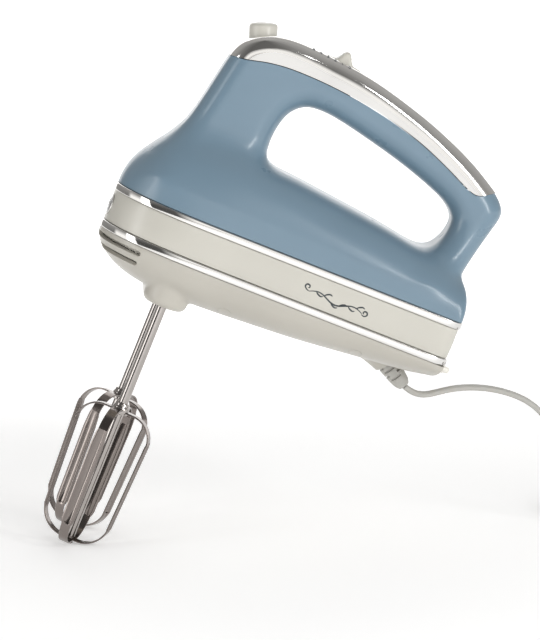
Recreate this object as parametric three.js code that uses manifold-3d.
// Hand mixer: a glossy two-tone housing with a loop handle, two counter-turning wire beaters, a worm
// drive, an eject button and a speed slider. Millimetres, +Z up.
//
// The mixer is drawn level: x runs from the nose to the heel, y to the mixer's left and right, and
// z = 0 is the middle of the lower trim band. The drawing is then tipped nose-up about the grip, the
// way a hand holds it, so that the beater tips are the lowest points.

import * as THREE from 'three';
import { mergeVertices } from 'three/addons/utils/BufferGeometryUtils.js';
import Module from 'manifold-3d';

const wasm = await Module();
wasm.setup();

// ---------------------------------------------------------------- driving dimensions
const BODY_LENGTH = 195;
const HALF_WIDTH = 42;
const TRIM_SPACING = 20.6;
const TRIM_HEIGHT = 3.8;
const WALL = 2.5;
const GAP = 0.3;
const TILT_DEGREES = 22.1;
const GRIP = { x: 110, z: 107 };

const SPINDLE_X = 45.7;
const SPINDLE_Y = 20;
const DRIVE_Z = 18;
const GEAR_TEETH = 26;
const BEATER_RADIUS = 22.4;
const BEATER_TOP = -86.5;
const BEATER_BOTTOM = -163.5;
const STEM_RADIUS = 2.6;
const STEM_TOP = 14.3;

const BUTTON = { x: 44.25, z: 119.4, leanDegrees: 20 };
const SLIDER = { x: 88, z: 123.6, slopeDegrees: 4.3, travel: 15 };
const RELIEF = { x: 169.5, z: -14.6, dropDegrees: 31, length: 17.3 };

const CORD_WIDTH = 5.4;
const CORD_THICKNESS = 3.2;
const COIL = { x: 138, y: 27, innerRadius: 21, outerRadius: 32.6, height: 10.6 };

// ---------------------------------------------------------------- materials
function material(color, roughness, metalness) {
  return new THREE.MeshStandardMaterial({ color, roughness, metalness });
}

const BLUE = material(0x6f8799, 0.25, 0);
const CREAM = material(0xd6d3c6, 0.35, 0);
const CHROME = material(0xb9b7b2, 0.18, 1);
const STEEL = material(0xc9cacc, 0.22, 1);
const DARK_STEEL = material(0x6c6e72, 0.4, 1);
const COPPER = material(0xb56a3a, 0.4, 1);
const NYLON = material(0xe9e6da, 0.5, 0);
const BLACK_PLASTIC = material(0x22242a, 0.5, 0);
const BRONZE = material(0xa9824c, 0.4, 1);
const CARBON = material(0x2c2c2e, 0.8, 0);
const BOARD_GREEN = material(0x2f6b46, 0.6, 0);
const CORD_PLASTIC = material(0xc4c1b9, 0.55, 0);
const CLEAR_RUBBER = material(0xe6e4dc, 0.4, 0);

// ---------------------------------------------------------------- solids: join, cut, place
function toSolid(geometry) {
  const plain = geometry.clone();
  plain.deleteAttribute('normal');
  plain.deleteAttribute('uv');
  const merged = mergeVertices(plain, 1e-4);
  return new wasm.Manifold(new wasm.Mesh({
    numProp: 3,
    vertProperties: new Float32Array(merged.attributes.position.array),
    triVerts: new Uint32Array(merged.index.array),
  }));
}

function toGeometry(solid) {
  const mesh = solid.getMesh();
  const geometry = new THREE.BufferGeometry();
  geometry.setAttribute('position', new THREE.BufferAttribute(new Float32Array(mesh.vertProperties), 3));
  geometry.setIndex(new THREE.BufferAttribute(new Uint32Array(mesh.triVerts), 1));
  geometry.computeVertexNormals();
  return geometry;
}

function join(...geometries) {
  return toGeometry(geometries.map(toSolid).reduce((sum, next) => sum.add(next)));
}

function cut(geometry, ...tools) {
  return toGeometry(tools.map(toSolid).reduce((rest, tool) => rest.subtract(tool), toSolid(geometry)));
}

function common(first, second) {
  return toGeometry(toSolid(first).intersect(toSolid(second)));
}

function box(xRange, yRange, zRange) {
  const size = [xRange, yRange, zRange].map(([low, high]) => high - low);
  const centre = [xRange, yRange, zRange].map(([low, high]) => (low + high) / 2);
  return new THREE.BoxGeometry(...size).translate(...centre);
}

// A cylinder along x, y or z that starts at the point `from` and runs `length` along the axis.
function rod(axis, from, radius, length, sides = 20) {
  const geometry = new THREE.CylinderGeometry(radius, radius, length, sides);
  geometry.translate(0, length / 2, 0);
  if (axis === 'x') geometry.rotateZ(-Math.PI / 2);
  if (axis === 'z') geometry.rotateX(Math.PI / 2);
  return geometry.translate(...from);
}

// A turned piece: the profile lists [radius, distance along the axis].
function turned(axis, from, profile, sides = 24) {
  const geometry = new THREE.LatheGeometry(profile.map(([r, s]) => new THREE.Vector2(r, s)), sides);
  if (axis === 'x') geometry.rotateZ(-Math.PI / 2);
  if (axis === 'z') geometry.rotateX(Math.PI / 2);
  return geometry.translate(...from);
}

// A bush, bearing or sleeve: outer and inner radius, and the length along the axis.
function sleeve(axis, from, outer, inner, length, sides = 20) {
  return turned(axis, from, [[inner, 0], [outer, 0], [outer, length], [inner, length], [inner, 0]], sides);
}

// Interpolation through a short list of [x, value] points.
function along(points, x) {
  const last = points.length - 1;
  if (x <= points[0][0]) return points[0][1];
  if (x >= points[last][0]) return points[last][1];
  const next = points.findIndex(([px]) => px > x);
  const [x0, v0] = points[next - 1];
  const [x1, v1] = points[next];
  return v0 + (v1 - v0) * (x - x0) / (x1 - x0);
}

// ---------------------------------------------------------------- the plan outline of the body
// Half of the outline seen from above, from the nose tip to the middle of the heel: a superelliptic
// nose, a side that draws in slightly and a square heel with a round corner.
const NOSE_DEPTH = 60;
const NOSE_POWER = 2 / 2.3;
const NOSE_STEPS = 9;
const SIDE_STEPS = 5;
const HEEL_DRAW_IN = 2;
const HEEL_RADIUS = 10;
const HEEL_STEPS = 3;

function halfOutline(side, nose = side, heel = side) {
  const half = [];
  const width = HALF_WIDTH - side;
  for (let i = 0; i <= NOSE_STEPS; i += 1) {
    const angle = (i / NOSE_STEPS) * Math.PI / 2;
    const x = nose + (NOSE_DEPTH - nose / 2) * (1 - Math.cos(angle) ** NOSE_POWER);
    half.push([x, width * Math.sin(angle) ** NOSE_POWER]);
  }
  const radius = Math.max(2, HEEL_RADIUS - heel);
  const centreX = BODY_LENGTH - heel - radius;
  const centreY = width - HEEL_DRAW_IN - radius;
  const noseEnd = half[NOSE_STEPS][0];
  for (let i = 1; i < SIDE_STEPS; i += 1) {
    const part = i / SIDE_STEPS;
    half.push([THREE.MathUtils.lerp(noseEnd, centreX, part), width - HEEL_DRAW_IN * part]);
  }
  for (let i = 0; i <= HEEL_STEPS; i += 1) {
    const angle = Math.PI / 2 * (1 - i / HEEL_STEPS);
    half.push([centreX + radius * Math.cos(angle), centreY + radius * Math.sin(angle)]);
  }
  half.push([BODY_LENGTH - heel, centreY / 2], [BODY_LENGTH - heel, 0]);
  return half;
}

// A closed body from a box of small faces: its levels run from the bottom up, and each has its own
// half outline. The box's end faces wrap around the nose and the heel, END_STEPS points to each side.
const END_STEPS = 5;

function bodyBlock(levels, halfOutlineAt, heightAt) {
  const steps = levels.length - 1;
  const halves = levels.map(halfOutlineAt);
  const last = halves[0].length - 1;
  const columns = last - 2 * END_STEPS;
  const geometry = new THREE.BoxGeometry(2, 2, steps, columns, 2 * END_STEPS, steps);
  const positions = geometry.attributes.position;
  for (let i = 0; i < positions.count; i += 1) {
    const part = positions.getX(i);
    const across = positions.getY(i);
    const level = Math.round(positions.getZ(i) + steps / 2);
    const fromTip = Math.round(END_STEPS * Math.abs(across));
    let index = END_STEPS + Math.round((part + 1) / 2 * columns);
    let side = across;
    if (part < -0.999 || part > 0.999) {
      index = part < 0 ? fromTip : last - fromTip;
      side = Math.sign(across);
    }
    const [x, y] = halves[level][index];
    positions.setXYZ(i, x, side * y, heightAt(x, levels[level]));
  }
  return geometry;
}

function planSlab(inset, low, high) {
  return bodyBlock([low, high], () => halfOutline(inset), (x, z) => z);
}

function planRing(outerInset, innerInset, low, high) {
  return cut(planSlab(outerInset, low, high), planSlab(innerInset, low - 1, high + 1));
}

// ---------------------------------------------------------------- upper shell: dome and loop handle
const DOME_BASE = TRIM_SPACING + TRIM_HEIGHT / 2 + GAP;
const DOME_LEVELS = [0, 0.25, 0.5, 0.7, 0.85, 0.95, 1];
const CAVITY_LEVELS = [0, 0.5, 0.85, 1];
const DOME_TOP = [[0, 60.5], [80, 60.5], [140, 53], [165, 49], [195, 45]];

function dome(offset, base, levels = DOME_LEVELS) {
  const halfOutlineAt = (level) => {
    const side = 1 + 30 * (1 - Math.sqrt(1 - level ** 2.2));
    const nose = 2 + 32 * (1 - (1 - level ** 2) ** 0.53);
    const heel = 1 + 9 * (1 - Math.sqrt(1 - level ** 3));
    return halfOutline(side + offset, nose + offset, heel + offset);
  };
  const heightAt = (x, level) => base + level * (along(DOME_TOP, x) - offset - base);
  return bodyBlock(levels, halfOutlineAt, heightAt);
}

const LOOP_OUTSIDE = [
  [21, 36], [18.5, 50], [20.3, 58.6], [23.2, 67.6], [25.5, 78.9], [27.9, 92.3], [30.3, 105.5],
  [32.6, 112], [36.6, 117.2], [43.5, 121.8], [51.6, 124.7], [61.7, 125.6], [99, 122.8], [117.2, 119.2],
  [140, 112.9], [158.3, 106.3], [172.3, 100.1], [183.7, 93.8], [190, 89.6], [195.6, 82.8],
  [196.2, 79.5], [192.6, 64.5], [188.7, 49.5], [187.8, 43], [184, 36],
];
const FINGER_HOLE = [
  [67.4, 75], [68.2, 84], [71.1, 90], [76, 94.4], [83.2, 96.4], [95.2, 96], [116.2, 91.8],
  [137.3, 87], [155, 81.8], [166, 77.3], [171.8, 71.5], [171.6, 65], [167.5, 56.5], [163.6, 51.4],
  [158.5, 49.3], [140.5, 52.7], [110, 56.3], [82, 59.6], [75.5, 61.4], [70.5, 66],
];
const LOOP_HALF_WIDTH = 17.5;
const GRIP_HALF_WIDTH = 15;
const LOOP_ROUNDING = 6.5;
const CAVITY_ROUNDING = 3.5;

// A closed outline, always counter-clockwise, so that its holes are cut out of it.
function outline(points) {
  const corners = points.map(([x, z]) => new THREE.Vector2(x, z));
  return new THREE.Shape(THREE.ShapeUtils.isClockWise(corners) ? corners.reverse() : corners);
}

// The outline lies in the x-z plane and is extruded to both sides of y = 0, with rounded edges.
function slab(shape, halfWidth, rounding = 0, offset = 0, segments = 2) {
  const geometry = new THREE.ExtrudeGeometry(shape, {
    depth: 2 * (halfWidth - rounding),
    bevelEnabled: rounding > 0,
    bevelThickness: rounding,
    bevelSize: rounding,
    bevelOffset: -rounding - offset,
    bevelSegments: segments,
    curveSegments: 6,
  });
  return geometry.translate(0, 0, -(halfWidth - rounding)).rotateX(Math.PI / 2);
}

function loopHalfWidth(x, z) {
  const toGrip = THREE.MathUtils.smoothstep(x, 45, 80);
  const flare = 0.35 * Math.max(0, 62 - z);
  return THREE.MathUtils.lerp(LOOP_HALF_WIDTH, GRIP_HALF_WIDTH, toGrip) + flare;
}

function loopHandle(offset) {
  const shape = outline(LOOP_OUTSIDE);
  shape.holes.push(outline(FINGER_HOLE));
  const rounding = offset > 0 ? CAVITY_ROUNDING : LOOP_ROUNDING;
  const geometry = slab(shape, LOOP_HALF_WIDTH - offset, rounding, offset);
  const positions = geometry.attributes.position;
  for (let i = 0; i < positions.count; i += 1) {
    const width = loopHalfWidth(positions.getX(i), positions.getZ(i));
    positions.setY(i, positions.getY(i) * (width - offset) / (LOOP_HALF_WIDTH - offset));
  }
  return geometry;
}

const COVER_SEAM = [
  [15, 106], [29.7, 106], [39.2, 107.2], [51.5, 111], [65.8, 111.6], [88.3, 110.9], [115.1, 107.6],
  [137.9, 102.2], [160.8, 93.9], [176.7, 86.4], [188.6, 91.1], [205, 97.6], [205, 145], [15, 145],
];

function aboveSeam(lift) {
  return slab(outline(COVER_SEAM), 40).translate(0, 0, lift);
}

const SCREWS = [
  ['screw_front_left', 76, 30], ['screw_front_right', 76, -30],
  ['screw_rear_left', 148, 31], ['screw_rear_right', 148, -31],
];

function upperShell() {
  const outside = join(dome(0, DOME_BASE), loopHandle(0));
  const inside = join(dome(WALL, DOME_BASE - 2, CAVITY_LEVELS), loopHandle(WALL));
  let shell = cut(outside, inside, aboveSeam(-GAP / 2), box([-5, 205], [-50, 50], [0, DOME_BASE]));
  for (const [, x, y] of SCREWS) {
    const pillar = common(rod('z', [x, y, DOME_BASE], 4, 30, 12), dome(0.5, DOME_BASE - 1, CAVITY_LEVELS));
    shell = join(shell, pillar);
    shell = cut(shell, rod('z', [x, y, DOME_BASE - 1], 1.9, 17, 12));
  }
  return shell;
}

// ---------------------------------------------------------------- handle cover, button and slider
const COVER_WALL = 2.2;
const BUTTON_RADIUS = 7.5;
const BUTTON_LEAN = THREE.MathUtils.degToRad(BUTTON.leanDegrees);
const SLIDER_SLOPE = THREE.MathUtils.degToRad(SLIDER.slopeDegrees);

// Places a geometry drawn about the button's axis (z up along the axis).
function onButtonAxis(geometry) {
  return geometry.rotateY(-BUTTON_LEAN).translate(BUTTON.x, 0, BUTTON.z);
}

// Places a geometry drawn about the slider's middle (x back along the handle, z off its surface).
function onSliderTrack(geometry) {
  return geometry.rotateY(SLIDER_SLOPE).translate(SLIDER.x, 0, SLIDER.z);
}

function handleCover() {
  const recess = onSliderTrack(box([-26.5, 11], [-7.4, 7.4], [-0.9, 4]));
  const slot = onSliderTrack(box([-2.6 - SLIDER.travel, 2.6], [-2, 2], [-8, 4]));
  const buttonHole = onButtonAxis(rod('z', [0, 0, -12], BUTTON_RADIUS + GAP, 26, 28));
  const shell = common(cut(loopHandle(0), loopHandle(COVER_WALL)), aboveSeam(GAP / 2));
  return cut(shell, recess, slot, buttonHole);
}

const PUSHER_END = 107;

function ejectButton() {
  const cap = turned('z', [0, 0, 0], [
    [0, -16], [3, -16], [3, -6.6], [9.2, -6.6], [9.2, -5], [BUTTON_RADIUS, -5], [BUTTON_RADIUS, 6.4],
    [7, 8], [5.6, 9.1], [3, 9.6], [0, 9.8],
  ], 22);
  return cut(onButtonAxis(cap), box([20, 80], [-20, 20], [80, PUSHER_END]));
}

function speedSlider() {
  const body = slab(outline([
    [-9.8, -0.5], [-9.8, 0.7], [-4.2, 1.2], [-3.1, 3.6], [-0.8, 6.8], [0.9, 6.9], [2.8, 4.4],
    [4.6, 1.1], [9.8, 0.7], [9.8, -0.5],
  ]), 6.4);
  const tongue = box([-2, 2], [-1.5, 1.5], [-10, 0]);
  return onSliderTrack(join(body, tongue));
}

function switchWiper() {
  return onSliderTrack(box([-4, 4], [-3.4, 3.4], [-12.8, -10.3]));
}

function speedSwitch() {
  const body = box([-25, 10], [-7.5, 7.5], [-21, -9]);
  const track = box([-21, 6], [-4, 4], [-13.4, -5]);
  return onSliderTrack(cut(body, track));
}

// ---------------------------------------------------------------- ejector: yoke, guide and spring
const YOKE_POST_X = 50;
const YOKE_BAR_BOTTOM = 37.5;
const YOKE_TOP = PUSHER_END - GAP;

function ejectorYoke() {
  const pad = box([YOKE_POST_X - 7, YOKE_POST_X + 7], [-6, 6], [YOKE_TOP - 3, YOKE_TOP]);
  const post = box([YOKE_POST_X - 3, YOKE_POST_X + 3], [-3, 3], [YOKE_BAR_BOTTOM, YOKE_TOP - 2]);
  const barBack = YOKE_POST_X + 3;
  const bar = box([SPINDLE_X - 4.5, barBack], [-SPINDLE_Y - 4, SPINDLE_Y + 4], [YOKE_BAR_BOTTOM, 42]);
  const prongs = [-1, 1].map((side) => {
    const from = [SPINDLE_X, side * SPINDLE_Y, STEM_TOP + GAP];
    return rod('z', from, 2.2, YOKE_BAR_BOTTOM + 1 - from[2], 14);
  });
  return join(pad, post, bar, ...prongs);
}

const GUIDE_TOP = 72;

function yokeGuide() {
  const plate = box([31, 63], [-12, 12], [GUIDE_TOP - 4, GUIDE_TOP]);
  const low = YOKE_POST_X - 3 - GAP;
  const high = YOKE_POST_X + 3 + GAP;
  return cut(plate, box([low, high], [-3 - GAP, 3 + GAP], [GUIDE_TOP - 6, GUIDE_TOP + 2]));
}

class Helix extends THREE.Curve {
  constructor(radius, height, turns) {
    super();
    Object.assign(this, { radius, height, turns });
  }

  getPoint(t) {
    const angle = 2 * Math.PI * this.turns * t;
    return new THREE.Vector3(this.radius * Math.cos(angle), this.radius * Math.sin(angle), this.height * t);
  }
}

function circle(radius, sides) {
  const points = Array.from({ length: sides }, (unused, i) => {
    const angle = 2 * Math.PI * i / sides;
    return new THREE.Vector2(radius * Math.cos(angle), radius * Math.sin(angle));
  });
  return new THREE.Shape(points);
}

function tube(path, section, steps) {
  return new THREE.ExtrudeGeometry(section, { steps, extrudePath: path, bevelEnabled: false });
}

function ejectSpring() {
  const wire = 0.6;
  const height = YOKE_TOP - 3 - GUIDE_TOP - 2 * (wire + GAP);
  const path = new Helix(5.4, height, 5);
  return tube(path, circle(wire, 5), 40).translate(YOKE_POST_X, 0, GUIDE_TOP + wire + GAP);
}

// ---------------------------------------------------------------- lower housing
const RIM = -TRIM_HEIGHT / 2 - GAP;
const FLOOR = [
  [0, -22.3], [45, -22.3], [71, -21.8], [117, -19.4], [163, -14.8], [178, -13.4], [185, -10.6], [195, -6.4],
];
const BOWL_LEVELS = DOME_LEVELS.slice().reverse();
const BOSS_BOTTOM = -28;

function bowl(offset, rim, levels = BOWL_LEVELS) {
  const halfOutlineAt = (level) => {
    const round = 1 - Math.sqrt(1 - level ** 2.2);
    return halfOutline(1 + 20 * round + offset, 2 + 28 * round + offset, 1 + 6 * round + offset);
  };
  const heightAt = (x, level) => rim + level * (along(FLOOR, x) + offset - rim);
  return bodyBlock(levels, halfOutlineAt, heightAt);
}

function stadium(radius) {
  const shape = new THREE.Shape();
  shape.absarc(SPINDLE_X, SPINDLE_Y, radius, 0, Math.PI, false);
  shape.absarc(SPINDLE_X, -SPINDLE_Y, radius, Math.PI, 2 * Math.PI, false);
  return shape;
}

function boss(radius, bottom, top, rounding) {
  return new THREE.ExtrudeGeometry(stadium(radius), {
    depth: top - bottom - 2 * rounding,
    bevelThickness: rounding,
    bevelSize: rounding,
    bevelOffset: -rounding,
    bevelSegments: 2,
    curveSegments: 8,
  }).translate(0, 0, bottom + rounding);
}

const VENTS = [[-7.2, -4.4], [-12.6, -9.9]];
const VENT_END = 24.5;
const VENT_RIB = 1.2;

function lowerHousing() {
  const outside = join(bowl(0, RIM), boss(12, BOSS_BOTTOM, -11, 5.5));
  const cavity = bowl(WALL, RIM + 2, CAVITY_LEVELS.slice().reverse());
  const inside = join(cavity, boss(12 - WALL, BOSS_BOTTOM + WALL, -8, 3));
  let shell = cut(outside, inside, box([-5, 205], [-50, 50], [RIM, 10]));
  for (const [low, high] of VENTS) {
    for (const side of [-1, 1]) {
      const span = [side * VENT_RIB, side * 45].sort((a, b) => a - b);
      shell = cut(shell, box([-5, VENT_END], span, [low, high]));
    }
  }
  for (const side of [-1, 1]) {
    shell = cut(shell, rod('z', [SPINDLE_X, side * SPINDLE_Y, BOSS_BOTTOM - 2], 6.6, 10, 24));
  }
  const insideBowl = bowl(0.4, RIM + 1, CAVITY_LEVELS.slice().reverse());
  for (const [, x, y] of SCREWS) {
    const tower = common(rod('z', [x, y, -26], 4.6, 26 + RIM, 12), insideBowl);
    shell = join(shell, tower);
    shell = cut(shell, rod('z', [x, y, -26], 1.9, 30, 12), rod('z', [x, y, -30], 3.6, 18, 12));
  }
  return cut(shell, onReliefAxis(rod('z', [0, 0, -16], 5.9, 40, 20)));
}

function housingScrew(x, y) {
  return turned('z', [x, y, -12 - GAP], [
    [0, -2.4], [2.4, -2.4], [3.2, -1.6], [3.2, 0], [1.6, 0], [1.6, 44], [0, 46],
  ], 12);
}

// ---------------------------------------------------------------- badge and heel feet
function noseBadge() {
  const plate = cut(planSlab(0, 4.4, 16.2), planSlab(1 - GAP, 3, 18));
  const shape = new THREE.Shape();
  shape.absarc(-6.5, 0, 5.8, Math.PI / 2, 3 * Math.PI / 2, false);
  shape.absarc(6.5, 0, 5.8, -Math.PI / 2, Math.PI / 2, false);
  const oval = new THREE.ExtrudeGeometry(shape, { depth: 20, bevelEnabled: false, curveSegments: 8 });
  oval.rotateX(Math.PI / 2).rotateZ(Math.PI / 2).translate(-5, 0, TRIM_SPACING / 2);
  return common(plate, oval);
}

function heelFoot(side) {
  return rod('x', [BODY_LENGTH - 1 + GAP, side * 29, -4.1], 1.8, 3.8, 16);
}

// ---------------------------------------------------------------- motor
const SHAFT_RADIUS = 2.2;
const ON_SHAFT = SHAFT_RADIUS + GAP;
const CORE = { from: 90, length: 34, radius: 13.4 };

function motorShaft() {
  return turned('x', [0, 0, DRIVE_Z], [
    [0, 27.5], [SHAFT_RADIUS, 28], [SHAFT_RADIUS, 163.5], [0, 164],
  ], 16);
}

// A toothed or slotted disc: `teeth` teeth whose flanks are given as [radius, half angle] pairs from
// the root to the tip, extruded along z with a round bore.
function toothedDisc(teeth, flank, bore, thickness, phase = 0) {
  const shape = new THREE.Shape();
  const step = 2 * Math.PI / teeth;
  const points = [];
  for (let i = 0; i < teeth; i += 1) {
    const middle = phase + i * step;
    for (const [r, half] of flank) points.push([r, middle - half]);
    for (const [r, half] of flank.slice().reverse()) points.push([r, middle + half]);
  }
  shape.setFromPoints(points.map(([r, a]) => new THREE.Vector2(r * Math.cos(a), r * Math.sin(a))));
  shape.holes.push(circle(bore, 16));
  return new THREE.ExtrudeGeometry(shape, { depth: thickness, bevelEnabled: false });
}

function onShaft(geometry, from) {
  return geometry.rotateY(Math.PI / 2).translate(from, 0, DRIVE_Z);
}

const SLOTS = 12;
const HALF_SLOT = Math.PI / SLOTS;

function armatureCore() {
  const flank = [[9, HALF_SLOT * 0.5], [11.6, HALF_SLOT * 0.5], [CORE.radius, HALF_SLOT * 0.86]];
  return onShaft(toothedDisc(SLOTS, flank, ON_SHAFT, CORE.length), CORE.from);
}

function commutator() {
  const flank = [[8, HALF_SLOT * 0.85], [9, HALF_SLOT * 0.85]];
  return onShaft(toothedDisc(SLOTS, flank, ON_SHAFT, 12), 134);
}

function winding(from) {
  return turned('x', [from, 0, DRIVE_Z], [
    [ON_SHAFT, 0], [7, 0], [10, 1.6], [10, 3.6], [8, 5], [ON_SHAFT, 5], [ON_SHAFT, 0],
  ], 18);
}

function coolingFan() {
  const blades = Array.from({ length: 7 }, (unused, i) => {
    const blade = box([75, 82], [3, 20], [-0.7, 0.7]);
    return blade.rotateX(2 * Math.PI * i / 7).translate(0, 0, DRIVE_Z);
  });
  const hub = rod('x', [74.5, 0, DRIVE_Z], 6, 8, 18);
  const plate = rod('x', [81, 0, DRIVE_Z], 18, 1.2, 28);
  return cut(join(hub, plate, ...blades), rod('x', [70, 0, DRIVE_Z], ON_SHAFT, 20, 16));
}

function motorStator() {
  const { from, length, radius } = CORE;
  const shape = outline([
    [-28, -17], [-22, -23], [22, -23], [28, -17], [28, 17], [22, 23], [-22, 23], [-28, 17],
  ]);
  const block = new THREE.ExtrudeGeometry(shape, { depth: length, bevelEnabled: false });
  block.rotateX(Math.PI / 2).rotateZ(Math.PI / 2).translate(from, 0, DRIVE_Z);
  const windows = [-1, 1].flatMap((side) => [-1, 1].map((level) => {
    const across = [side * 14.6, side * 22].sort((a, b) => a - b);
    const upright = [DRIVE_Z + level * 11, DRIVE_Z + level * 18.4].sort((a, b) => a - b);
    return box([from - 1, from + length + 1], across, upright);
  }));
  return cut(block, rod('x', [from - 1, 0, DRIVE_Z], radius + 0.6, length + 2, 28), ...windows);
}

function fieldCoil(level) {
  const ring = new THREE.Shape();
  const frame = (shape, x, y, r) => {
    shape.absarc(x, y, r, 0, Math.PI / 2, false);
    shape.absarc(-x, y, r, Math.PI / 2, Math.PI, false);
    shape.absarc(-x, -y, r, Math.PI, 3 * Math.PI / 2, false);
    shape.absarc(x, -y, r, 3 * Math.PI / 2, 2 * Math.PI, false);
    return shape;
  };
  frame(ring, CORE.length / 2 + 0.6, 15.6, 6);
  ring.holes.push(frame(new THREE.Path(), CORE.length / 2 + 0.4, 15, 0.1));
  const coil = new THREE.ExtrudeGeometry(ring, { depth: 6.6, bevelEnabled: false, curveSegments: 3 });
  return coil.translate(CORE.from + CORE.length / 2, 0, DRIVE_Z + level * 14.7 - 3.3);
}

function rearBracket() {
  const plate = slab(outline([[154, 0], [160, 0], [160, 36], [154, 36]]), 22);
  const windows = [-1, 1].map((side) => {
    const span = [side * 9, side * 19].sort((a, b) => a - b);
    return box([150, 165], span, [6, 30]);
  });
  return cut(plate, rod('x', [150, 0, DRIVE_Z], 6.3, 15, 20), ...windows);
}

function brushHolder(side) {
  const span = [side * 12, side * 24].sort((a, b) => a - b);
  const channel = [side * 10, side * 26].sort((a, b) => a - b);
  const low = DRIVE_Z - 2.8;
  const block = box([136, 144], span, [DRIVE_Z - 4, DRIVE_Z + 4]);
  return cut(block, box([137.2, 142.8], channel, [low, low + 5.6]));
}

function carbonBrush(side) {
  const span = [side * 9.3, side * 19].sort((a, b) => a - b);
  return box([137.5, 142.5], span, [DRIVE_Z - 2.5, DRIVE_Z + 2.5]);
}

// ---------------------------------------------------------------- worm drive
const WORM = { root: 3.2, pitch: 4.2, crest: 5, turns: 3.6 };
const GEAR_PITCH_RADIUS = SPINDLE_Y - WORM.pitch;
const AXIAL_PITCH = 2 * Math.PI * GEAR_PITCH_RADIUS / GEAR_TEETH;
const THREAD_HALF = { root: 0.95, pitch: 0.6, crest: 0.4 };
const TOOTH_HALF = { root: 0.95, pitch: 0.6, tip: 0.42 };
const GEAR_ROOT = SPINDLE_Y - WORM.crest - 0.5;
const GEAR_TIP = SPINDLE_Y - WORM.root - 0.5;
const GEAR_HEIGHT = 6;

// The worm is its own cross-section, twisted once per axial pitch. A one-start thread's section is a
// disc whose edge rises from the root to the crest over the angles that the thread's flanks take up.
function driveWorm() {
  const perMillimetre = 2 * Math.PI / AXIAL_PITCH;
  const flank = [
    [WORM.root, THREAD_HALF.root], [WORM.pitch, THREAD_HALF.pitch], [WORM.crest, THREAD_HALF.crest],
  ].map(([r, half]) => [r, half * perMillimetre]);
  const points = flank.map(([r, a]) => [r, -a]);
  points.push([WORM.crest, 0]);
  points.push(...flank.slice().reverse().map(([r, a]) => [r, a]));
  const rootStart = flank[0][1];
  const rootSteps = 5;
  for (let i = 1; i < rootSteps; i += 1) {
    points.push([WORM.root, rootStart + (2 * Math.PI - 2 * rootStart) * i / rootSteps]);
  }
  const shape = new THREE.Shape(points.map(([r, a]) => new THREE.Vector2(r * Math.cos(a), r * Math.sin(a))));
  const length = WORM.turns * AXIAL_PITCH;
  const steps = WORM.turns * 10;
  const thread = new THREE.ExtrudeGeometry(shape, { depth: length, steps, bevelEnabled: false });
  const positions = thread.attributes.position;
  const turn = new THREE.Vector3();
  const axis = new THREE.Vector3(0, 0, 1);
  for (let i = 0; i < positions.count; i += 1) {
    turn.fromBufferAttribute(positions, i);
    turn.applyAxisAngle(axis, perMillimetre * (turn.z - length / 2));
    positions.setXYZ(i, turn.x, turn.y, turn.z);
  }
  // The section starts with its crest along +x, which becomes -z on the shaft: a quarter turn brings
  // the crest at mid-length to face +y.
  thread.rotateZ(Math.PI / 2);
  const bored = cut(thread, rod('z', [0, 0, -1], ON_SHAFT, length + 2, 12));
  return onShaft(bored, SPINDLE_X - length / 2);
}

function wormGear(side) {
  const flank = [
    [GEAR_ROOT, TOOTH_HALF.root], [GEAR_PITCH_RADIUS, TOOTH_HALF.pitch], [GEAR_TIP, TOOTH_HALF.tip],
  ].map(([r, half]) => [r, half / r]);
  const step = 2 * Math.PI / GEAR_TEETH;
  // On the left the thread's crest faces the gear, so a tooth gap does; on the right a tooth does.
  const facing = -side * Math.PI / 2;
  const phase = side > 0 ? facing + step / 2 : facing;
  const disc = toothedDisc(GEAR_TEETH, flank, 4.7 + GAP, GEAR_HEIGHT, phase);
  return disc.translate(SPINDLE_X, side * SPINDLE_Y, DRIVE_Z - GEAR_HEIGHT / 2);
}

function gearCradle() {
  const plate = new THREE.ExtrudeGeometry(outline([
    [24, -22], [32, -32], [72, -32], [72, 32], [32, 32], [24, 22],
  ]), { depth: 3, bevelEnabled: false }).translate(0, 0, 7.5);
  const frontPost = box([25, 30], [-7, 7], [9, 26]);
  const rearPost = box([66, 72], [-9, 9], [9, 28]);
  const body = join(plate, frontPost, rearPost);
  const holes = [-1, 1].map((side) => rod('z', [SPINDLE_X, side * SPINDLE_Y, 5], 5.1, 10, 24));
  return cut(
    body,
    ...holes,
    rod('x', [20, 0, DRIVE_Z], ON_SHAFT, 15, 16),
    rod('x', [60, 0, DRIVE_Z], 5.5, 20, 20),
  );
}

// ---------------------------------------------------------------- spindles and beaters
const SOCKET_BOTTOM = -27.4;
const SOCKET_TOP = 27;
const EAR_LOW = -24;
const EAR_HEIGHT = 4;

function spindleSocket(side) {
  const centre = [SPINDLE_X, side * SPINDLE_Y, SOCKET_BOTTOM];
  const body = sleeve('z', centre, 4.7, STEM_RADIUS + GAP, SOCKET_TOP - SOCKET_BOTTOM, 20);
  const slot = box([-8, 8], [-1, 1], [SOCKET_BOTTOM - 1, EAR_LOW + EAR_HEIGHT + GAP]);
  return cut(body, placeBeater(slot, side));
}

function spindleBush(side) {
  return sleeve('z', [SPINDLE_X, side * SPINDLE_Y, BOSS_BOTTOM + 0.2], 6.3, 5, 5.6, 24);
}

// Everything on a beater is drawn about the spindle's axis and turned to the beater's own phase.
const BEATER_PHASE = { left: 61, right: 74 };
const STRIP_WIDTH = 5;
const STRIP_THICKNESS = 0.9;

function placeBeater(geometry, side) {
  const phase = THREE.MathUtils.degToRad(side > 0 ? BEATER_PHASE.left : BEATER_PHASE.right);
  return geometry.rotateZ(phase).translate(SPINDLE_X, side * SPINDLE_Y, 0);
}

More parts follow.
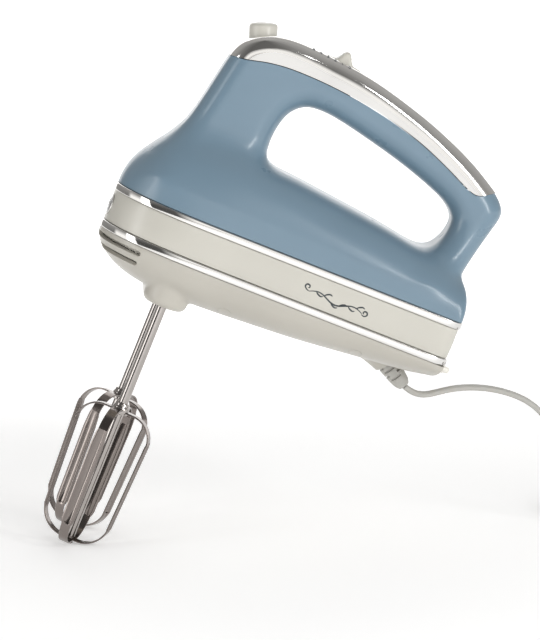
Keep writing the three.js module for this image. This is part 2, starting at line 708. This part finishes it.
function beaterStem() {
  const tip = BEATER_BOTTOM - 1.6;
  const shank = turned('z', [0, 0, 0], [
    [0, tip], [2.2, tip + 0.3], [2.9, tip + 1.3], [1.5, tip + 1.4], [1.5, BEATER_BOTTOM + 2.6],
    [STEM_RADIUS, BEATER_BOTTOM + 2.7], [STEM_RADIUS, 4], [2.1, 4.6], [2.1, 6.4], [STEM_RADIUS, 7],
    [STEM_RADIUS, STEM_TOP - 1], [1.8, STEM_TOP], [0, STEM_TOP],
  ], 16);
  return join(shank, box([-4.2, 4.2], [-0.6, 0.6], [EAR_LOW, EAR_LOW + EAR_HEIGHT]));
}

function beaterCollar() {
  return sleeve('z', [0, 0, BEATER_TOP - 3.6], 4.6, STEM_RADIUS + GAP, 6.4, 18);
}

// Half of a beater loop's centre line, from the collar to the bottom, as [radius, height].
function loopSide(outer, top, bottom) {
  const points = [];
  const shoulder = 13;
  const heel = 15;
  const narrow = 2.2;
  for (let i = 0; i <= 5; i += 1) {
    const angle = i / 5 * Math.PI / 2;
    points.push([outer - shoulder + shoulder * Math.sin(angle), top - shoulder + shoulder * Math.cos(angle)]);
  }
  for (let i = 0; i <= 6; i += 1) {
    const angle = i / 6 * Math.PI / 2;
    points.push([outer - narrow - heel + heel * Math.cos(angle), bottom + heel - heel * Math.sin(angle)]);
  }
  return points;
}

// A flat strip bent into a loop: two sides and the bottom in one piece, with a hole for the stem's end.
function beaterLoop(inset, quarterTurn) {
  const outer = BEATER_RADIUS - inset;
  const top = BEATER_TOP - inset;
  const bottom = BEATER_BOTTOM + inset;
  const thick = STRIP_THICKNESS;
  const outside = [[5, top], ...loopSide(outer, top, bottom)];
  const inside = [[5, top - thick], ...loopSide(outer - thick, top - thick, bottom + thick)];
  const mirrored = (points) => points.map(([r, z]) => [-r, z]).reverse();
  const contour = [...outside, ...mirrored(outside), ...[...inside, ...mirrored(inside)].reverse()];
  const strip = slab(outline(contour), STRIP_WIDTH / 2);
  const bored = cut(strip, rod('z', [0, 0, bottom - 2], 1.5 + GAP, 6, 14));
  return quarterTurn ? bored.rotateZ(Math.PI / 2) : bored;
}

// ---------------------------------------------------------------- wiring inside
// The speed control board with its interference capacitor and triac heat sink soldered on.
function controlBoard() {
  const board = box([176, 177.6], [-22, 22], [-4, 32]);
  const capacitor = box([167, 176.2], [4, 20], [14, 28]);
  const heatSink = box([169, 176.2], [-19, -6], [12, 14.5]);
  return join(board, capacitor, heatSink);
}

function internalLeads() {
  const path = new THREE.CatmullRomCurve3([
    [101, 104], [118, 103], [140, 97], [160, 90], [176, 80.5], [182.5, 70], [182, 56], [181, 44],
    [180, 36], [180, 28],
  ].map(([x, z]) => new THREE.Vector3(x, 0, z)));
  return tube(path, circle(1.6, 6), 18);
}

function cordTail() {
  const path = new THREE.CatmullRomCurve3([
    [164.2, -7.4], [163.4, -5.0], [163.2, -2.4], [164.5, 0.8], [168, 2.6], [175.6, 2.8],
  ].map(([x, z]) => new THREE.Vector3(x, 0, z)));
  return tube(path, circle(1.5, 8), 10);
}

function cordClamp() {
  return cut(box([158.5, 168], [-10, 10], [-5.8, -2.6]), rod('z', [163.4, 0, -8], 2.6, 8, 16));
}

// ---------------------------------------------------------------- strain relief, cord, coil and plug
const RELIEF_DROP = THREE.MathUtils.degToRad(RELIEF.dropDegrees);

// Places a geometry drawn about the relief's axis (z along the axis, out of the housing).
function onReliefAxis(geometry) {
  return geometry.rotateY(Math.PI / 2 + RELIEF_DROP).translate(RELIEF.x, 0, RELIEF.z);
}

const FLANGE_TOP = -8;

function strainRelief() {
  const end = RELIEF.length;
  const cone = onReliefAxis(turned('z', [0, 0, 0], [
    [0, -12], [5.5, -12], [5.5, -2], [5, 5], [4.7, 7], [3.9, 7.3], [3.9, 8.9], [4.6, 9.2], [4.4, 11],
    [3.6, 11.3], [3.6, 12.9], [4.3, 13.2], [3.9, end], [0, end],
  ], 20));
  const flange = box([156, 174], [-8.5, 8.5], [-9.8, FLANGE_TOP]);
  return cut(join(cone, flange), box([140, 190], [-12, 12], [FLANGE_TOP, 20]));
}

// The cord's route, coil and plug are drawn upright, in the frame of the finished part. The route is
// a list of [x, z] points in the plane y = 0, from the strain relief down to the top of the coil.
const CORD_ROUTE = [
  [20.1, -149.4], [21.7, -151.4], [24.2, -153.4], [27.6, -154.6], [31.6, -154.4], [37, -152.9],
  [44, -151], [54, -150.1], [66, -150.9], [78, -153.9], [88, -158.6], [95.6, -165.4],
  [101, -174], [104.4, -184], [107, -194.6], [109.8, -204.4], [113, -211.4], [115.8, -214.8],
];
const FLOOR_Z = -228.4;

function flatSection() {
  const half = CORD_THICKNESS / 2;
  const reach = CORD_WIDTH / 2 - half;
  const points = [];
  for (const [centre, start] of [[reach, -Math.PI / 2], [-reach, Math.PI / 2]]) {
    for (let i = 0; i <= 4; i += 1) {
      const angle = start + i * Math.PI / 4;
      points.push(new THREE.Vector2(centre + half * Math.cos(angle), half * Math.sin(angle)));
    }
  }
  return new THREE.Shape(points);
}

function powerCord() {
  const path = new THREE.CatmullRomCurve3(CORD_ROUTE.map(([x, z]) => new THREE.Vector3(x, 0, z)));
  return tube(path, flatSection(), 30);
}

function cordCoil() {
  const { x, y, innerRadius, outerRadius, height } = COIL;
  return sleeve('z', [x, y, FLOOR_Z], outerRadius, innerRadius, height, 36);
}

// A flat two-pin plug on its face beside the coil, where the last turn runs out along +x.
function cordPlug() {
  const body = box([9, 43], [-17.5, 17.5], [0, 13.4]);
  const neck = box([0, 10], [-4.5, 4.5], [2.2, 11.2]);
  const pins = [-1, 1].map((side) => rod('x', [42, side * 9.3, 6.7], 2, 20, 12));
  const runOut = { x: COIL.x + 24.2, y: COIL.y - (COIL.innerRadius + COIL.outerRadius) / 2 };
  return join(body, neck, ...pins).translate(runOut.x, runOut.y, FLOOR_Z);
}

// ---------------------------------------------------------------- assembly
const level = new THREE.Group();
level.position.set(-GRIP.x, 0, -GRIP.z);
const tilted = new THREE.Group();
tilted.rotation.y = THREE.MathUtils.degToRad(TILT_DEGREES);
tilted.add(level);
const mixer = new THREE.Group();
mixer.add(tilted);

function add(name, geometry, surface, group = level) {
  const mesh = new THREE.Mesh(geometry, surface);
  mesh.name = name;
  group.add(mesh);
}

function addHousing() {
  const trimHalf = TRIM_HEIGHT / 2;
  add('upper_shell', upperShell(), BLUE);
  add('handle_cover', handleCover(), CHROME);
  add('upper_trim', planRing(0, 3.6, TRIM_SPACING - trimHalf, TRIM_SPACING + trimHalf), CHROME);
  add('middle_band', planRing(1, 3.6, trimHalf + GAP, TRIM_SPACING - trimHalf - GAP), CREAM);
  add('lower_trim', planRing(0, 3.6, -trimHalf, trimHalf), CHROME);
  add('lower_housing', lowerHousing(), CREAM);
  add('nose_badge', noseBadge(), CHROME);
  add('heel_foot_left', heelFoot(1), CLEAR_RUBBER);
  add('heel_foot_right', heelFoot(-1), CLEAR_RUBBER);
  for (const [name, x, y] of SCREWS) add(name, housingScrew(x, y), DARK_STEEL);
}

function addControls() {
  add('eject_button', ejectButton(), CREAM);
  add('ejector_yoke', ejectorYoke(), NYLON);
  add('yoke_guide', yokeGuide(), BLACK_PLASTIC);
  add('eject_spring', ejectSpring(), STEEL);
  add('speed_slider', speedSlider(), CREAM);
  add('switch_wiper', switchWiper(), BRONZE);
  add('speed_switch', speedSwitch(), BLACK_PLASTIC);
}

function addMotor() {
  add('motor_shaft', motorShaft(), STEEL);
  add('drive_worm', driveWorm(), DARK_STEEL);
  add('cooling_fan', coolingFan(), BLACK_PLASTIC);
  add('armature_core', armatureCore(), DARK_STEEL);
  add('winding_front', winding(CORE.from - 5.4), COPPER);
  add('winding_rear', winding(CORE.from + CORE.length + 0.4), COPPER);
  add('commutator', commutator(), COPPER);
  add('motor_stator', motorStator(), DARK_STEEL);
  add('field_coil_upper', fieldCoil(1), COPPER);
  add('field_coil_lower', fieldCoil(-1), COPPER);
  add('rear_bracket', rearBracket(), BLACK_PLASTIC);
  add('rear_bearing', sleeve('x', [154.5, 0, DRIVE_Z], 6, ON_SHAFT, 5), BRONZE);
  add('gear_cradle', gearCradle(), BLACK_PLASTIC);
  add('front_bearing', sleeve('x', [66.5, 0, DRIVE_Z], 5.2, ON_SHAFT, 5), BRONZE);
  add('control_board', controlBoard(), BOARD_GREEN);
  add('internal_leads', internalLeads(), CARBON);
}

function addSide(label, side) {
  add(`brush_holder_${label}`, brushHolder(side), BRONZE);
  add(`carbon_brush_${label}`, carbonBrush(side), CARBON);
  add(`worm_gear_${label}`, wormGear(side), NYLON);
  add(`spindle_socket_${label}`, spindleSocket(side), STEEL);
  add(`spindle_bush_${label}`, spindleBush(side), BRONZE);
  add(`beater_stem_${label}`, placeBeater(beaterStem(), side), STEEL);
  add(`beater_collar_${label}`, placeBeater(beaterCollar(), side), STEEL);
  add(`beater_loop_outer_${label}`, placeBeater(beaterLoop(0, false), side), STEEL);
  add(`beater_loop_inner_${label}`, placeBeater(beaterLoop(STRIP_THICKNESS + GAP, true), side), STEEL);
}

function addCord() {
  add('strain_relief', strainRelief(), CORD_PLASTIC);
  add('cord_clamp', cordClamp(), BLACK_PLASTIC);
  add('cord_tail', cordTail(), CORD_PLASTIC);
  add('power_cord', powerCord(), CORD_PLASTIC, mixer);
  add('cord_coil', cordCoil(), CORD_PLASTIC, mixer);
  add('cord_plug', cordPlug(), CORD_PLASTIC, mixer);
}

addHousing();
addControls();
addMotor();
addSide('left', 1);
addSide('right', -1);
addCord();

export default mixer;
